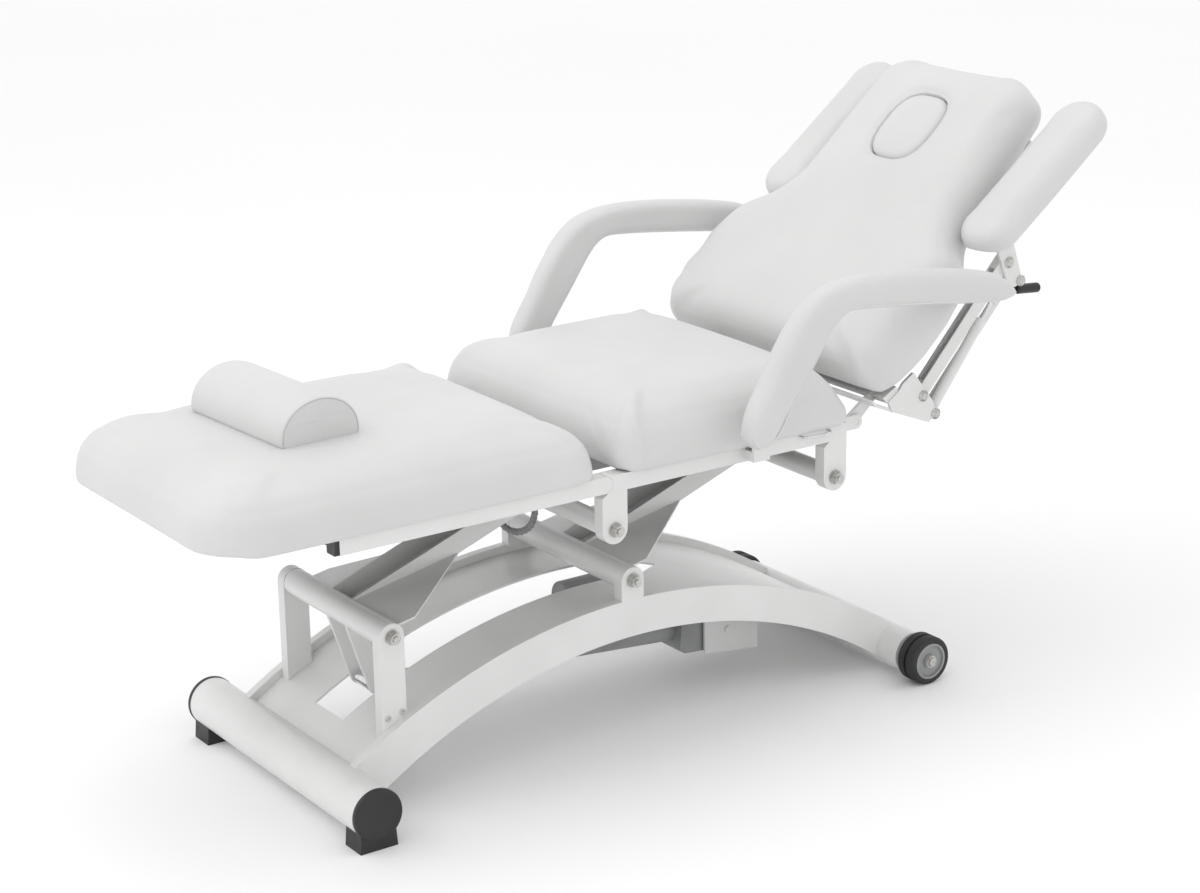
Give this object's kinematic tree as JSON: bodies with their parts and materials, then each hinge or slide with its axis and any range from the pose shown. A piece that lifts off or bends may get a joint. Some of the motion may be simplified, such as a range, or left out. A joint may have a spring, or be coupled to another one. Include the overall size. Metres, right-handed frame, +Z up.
{
  "type": "facial treatment bed",
  "caption": "Powered facial treatment bed with an arched wheeled base, parallel lifting arms, tilting leg section and backrest, head wings and lift-off armrests.",
  "frame": {"origin": "on the floor, under the middle of the bed's box", "axes": "+X along the bed to the head end, +Y across the bed, +Z up"},
  "size_m": [1.8935, 0.8, 1.1395],
  "materials": {
    "white_paint": "smooth satin powder coat",
    "black_plastic": "fine moulded grain",
    "grip_plastic": "soft satin grip on a steel rod",
    "grey_plastic": "moulded grey plastic",
    "board": "matte grey laminated board",
    "zinc": "bright zinc plated",
    "chrome": "polished",
    "tyre_rubber": "matt black rubber",
    "white_leatherette": "smooth satin leatherette with a very fine grain"
  },
  "bodies": {
    "base": {"front_foot_tube": "white_paint", "foot_cap_left": "black_plastic", "foot_cap_right": "black_plastic", "base_beam": "white_paint", "rear_axle_tube": "white_paint", "upright_left": "white_paint", "upright_right": "white_paint", "mid_lugs": "white_paint", "motor_hanger": "white_paint", "power_unit": "grey_plastic", "base_pivot_bolts": "zinc"},
    "wheel_left": {"tyre_left": "tyre_rubber", "wheel_hub_left": "grey_plastic"},
    "wheel_right": {"tyre_right": "tyre_rubber", "wheel_hub_right": "grey_plastic"},
    "front_arm": {"front_arm_channel": "white_paint", "front_pivot_tube": "white_paint", "front_top_tube": "white_paint", "supply_cable": "grey_plastic"},
    "rear_arm": {"rear_arm_channel": "white_paint", "rear_pivot_tube": "white_paint", "rear_top_tube": "white_paint"},
    "lift_motor": {"lift_motor_unit": "grey_plastic"},
    "lift_rod": {"lift_rod": "chrome"},
    "seat": {"seat_rail_left": "white_paint", "seat_rail_right": "white_paint", "seat_brackets": "white_paint", "seat_pivot_bolts": "zinc", "seat_pan": "board", "seat_cushion": "white_leatherette", "leg_motor_unit": "grey_plastic", "back_motor_unit": "grey_plastic"},
    "leg": {"leg_rail_left": "white_paint", "leg_rail_right": "white_paint", "leg_rail_caps": "black_plastic", "leg_pan": "board", "leg_cushion": "white_leatherette"},
    "leg_rod": {"leg_rod": "chrome"},
    "back": {"back_frame": "white_paint", "back_pan": "board", "back_cushion": "white_leatherette"},
    "back_rod": {"back_rod": "chrome"},
    "face_plug": {"face_plug": "white_leatherette"},
    "armrest_left": {"armrest_left": "white_leatherette"},
    "armrest_right": {"armrest_right": "white_leatherette"},
    "bolster": {"bolster": "white_leatherette"},
    "wing_beam_left": {"wing_beam_left": "white_paint"},
    "wing_link_left": {"wing_link_left": "white_paint"},
    "wing_head_left": {"wing_plate_left": "white_paint", "wing_pad_left": "white_leatherette"},
    "gas_cylinder_left": {"gas_cylinder_left": "white_paint"},
    "gas_rod_left": {"gas_rod_left": "chrome"},
    "release_lever_left": {"release_lever_left": "grip_plastic"},
    "wing_beam_right": {"wing_beam_right": "white_paint"},
    "wing_link_right": {"wing_link_right": "white_paint"},
    "wing_head_right": {"wing_plate_right": "white_paint", "wing_pad_right": "white_leatherette"},
    "gas_cylinder_right": {"gas_cylinder_right": "white_paint"},
    "gas_rod_right": {"gas_rod_right": "chrome"},
    "release_lever_right": {"release_lever_right": "grip_plastic"}
  },
  "joints": [
    {"name": "wheel_left_spin", "type": "hinge", "parent": "base", "child": "wheel_left", "pos_m": [0.5432, 0.2885, 0.047], "axis": [0, 1, 0], "continuous": true},
    {"name": "wheel_right_spin", "type": "hinge", "parent": "base", "child": "wheel_right", "pos_m": [0.5432, -0.2885, 0.047], "axis": [0, 1, 0], "continuous": true},
    {"name": "lift", "type": "hinge", "parent": "base", "child": "front_arm", "pos_m": [-0.5568, 0, 0.316], "axis": [0, -1, 0], "range_deg": [-7, 39]},
    {"name": "rear_arm_swing", "type": "hinge", "parent": "base", "child": "rear_arm", "pos_m": [-0.0693, 0, 0.3155], "axis": [0, -1, 0], "range_deg": [-7, 39]},
    {"name": "lift_motor_swing", "type": "hinge", "parent": "base", "child": "lift_motor", "pos_m": [0.2532, 0, 0.1], "axis": [0, -1, 0], "range_deg": [-6, 2]},
    {"name": "lift_rod_swing", "type": "hinge", "parent": "front_arm", "child": "lift_rod", "pos_m": [-0.50688, 0, 0.16504], "axis": [0, -1, 0], "range_deg": [-46, 9]},
    {"name": "seat_level", "type": "hinge", "parent": "front_arm", "child": "seat", "pos_m": [-0.16832, 0, 0.45648], "axis": [0, -1, 0], "range_deg": [-40, 8]},
    {"name": "leg_tilt", "type": "hinge", "parent": "seat", "child": "leg", "pos_m": [-0.1868, 0, 0.54], "axis": [0, 1, 0], "range_deg": [-15, 30]},
    {"name": "leg_rod_slide", "type": "slide", "parent": "seat", "child": "leg_rod", "axis": [-1, 0, 0], "range_m": [-0.015, 0.03]},
    {"name": "back_tilt", "type": "hinge", "parent": "seat", "child": "back", "pos_m": [0.3922, 0, 0.54], "axis": [0, -1, 0], "range_deg": [-42, 28]},
    {"name": "back_rod_slide", "type": "slide", "parent": "seat", "child": "back_rod", "axis": [1, 0, 0], "range_m": [-0.045, 0.03]},
    {"name": "face_plug_lift", "type": "slide", "parent": "back", "child": "face_plug", "axis": [-0.6691, 0, 0.7431], "range_m": [0, 0.15]},
    {"name": "bolster_lift", "type": "slide", "parent": "leg", "child": "bolster", "axis": [0, 0, 1], "range_m": [0, 0.15]},
    {"name": "wing_left", "type": "hinge", "parent": "back", "child": "wing_beam_left", "pos_m": [0.5282, 0.273, 0.572], "axis": [0, -1, 0], "range_deg": [-30, 0]},
    {"name": "wing_link_swing_left", "type": "hinge", "parent": "back", "child": "wing_link_left", "pos_m": [0.5592, 0.273, 0.532], "axis": [0, -1, 0], "range_deg": [-30, 0]},
    {"name": "wing_head_level_left", "type": "hinge", "parent": "wing_beam_left", "child": "wing_head_left", "pos_m": [0.7327, 0.273, 0.795], "axis": [0, -1, 0], "range_deg": [0, 30]},
    {"name": "gas_spring_swing_left", "type": "hinge", "parent": "back", "child": "gas_cylinder_left", "pos_m": [0.5592, 0.273, 0.532], "axis": [0, -1, 0], "range_deg": [-30, 0]},
    {"name": "gas_spring_stroke_left", "type": "slide", "parent": "gas_cylinder_left", "child": "gas_rod_left", "axis": [0.6139, 0, 0.7894], "range_m": [-0.0135, 0]},
    {"name": "release_lever_pull_left", "type": "hinge", "parent": "gas_rod_left", "child": "release_lever_left", "pos_m": [0.72005, 0.273, 0.73881], "axis": [0, -1, 0], "range_deg": [-8, 8], "stiffness_Nm_per_rad": 2},
    {"name": "armrest_lift_left", "type": "slide", "parent": "seat", "child": "armrest_left", "axis": [0, 0, 1], "range_m": [0, 0.15]},
    {"name": "wing_right", "type": "hinge", "parent": "back", "child": "wing_beam_right", "pos_m": [0.5282, -0.273, 0.572], "axis": [0, -1, 0], "range_deg": [-30, 0]},
    {"name": "wing_link_swing_right", "type": "hinge", "parent": "back", "child": "wing_link_right", "pos_m": [0.5592, -0.273, 0.532], "axis": [0, -1, 0], "range_deg": [-30, 0]},
    {"name": "wing_head_level_right", "type": "hinge", "parent": "wing_beam_right", "child": "wing_head_right", "pos_m": [0.7327, -0.273, 0.795], "axis": [0, -1, 0], "range_deg": [0, 30]},
    {"name": "gas_spring_swing_right", "type": "hinge", "parent": "back", "child": "gas_cylinder_right", "pos_m": [0.5592, -0.273, 0.532], "axis": [0, -1, 0], "range_deg": [-30, 0]},
    {"name": "gas_spring_stroke_right", "type": "slide", "parent": "gas_cylinder_right", "child": "gas_rod_right", "axis": [0.6139, 0, 0.7894], "range_m": [-0.0135, 0]},
    {"name": "release_lever_pull_right", "type": "hinge", "parent": "gas_rod_right", "child": "release_lever_right", "pos_m": [0.72005, -0.273, 0.73881], "axis": [0, -1, 0], "range_deg": [-8, 8], "stiffness_Nm_per_rad": 2},
    {"name": "armrest_lift_right", "type": "slide", "parent": "seat", "child": "armrest_right", "axis": [0, 0, 1], "range_m": [0, 0.15]}
  ],
  "couplings": [
    {"joint": "rear_arm_swing", "follows": "lift", "ratio": 1},
    {"joint": "lift_motor_swing", "follows": "lift", "ratio": -0.14},
    {"joint": "lift_rod_swing", "follows": "lift", "ratio": -1.14},
    {"joint": "seat_level", "follows": "lift", "ratio": -1},
    {"joint": "leg_rod_slide", "follows": "leg_tilt", "m_per_rad": 0.0455},
    {"joint": "back_rod_slide", "follows": "back_tilt", "m_per_rad": 0.0565},
    {"joint": "wing_link_swing_left", "follows": "wing_left", "ratio": 1},
    {"joint": "wing_head_level_left", "follows": "wing_left", "ratio": -1},
    {"joint": "gas_spring_swing_left", "follows": "wing_left", "ratio": 1},
    {"joint": "gas_spring_stroke_left", "follows": "wing_left", "m_per_rad": 0.025},
    {"joint": "wing_link_swing_right", "follows": "wing_right", "ratio": 1},
    {"joint": "wing_head_level_right", "follows": "wing_right", "ratio": -1},
    {"joint": "gas_spring_swing_right", "follows": "wing_right", "ratio": 1},
    {"joint": "gas_spring_stroke_right", "follows": "wing_right", "m_per_rad": 0.025}
  ]
}
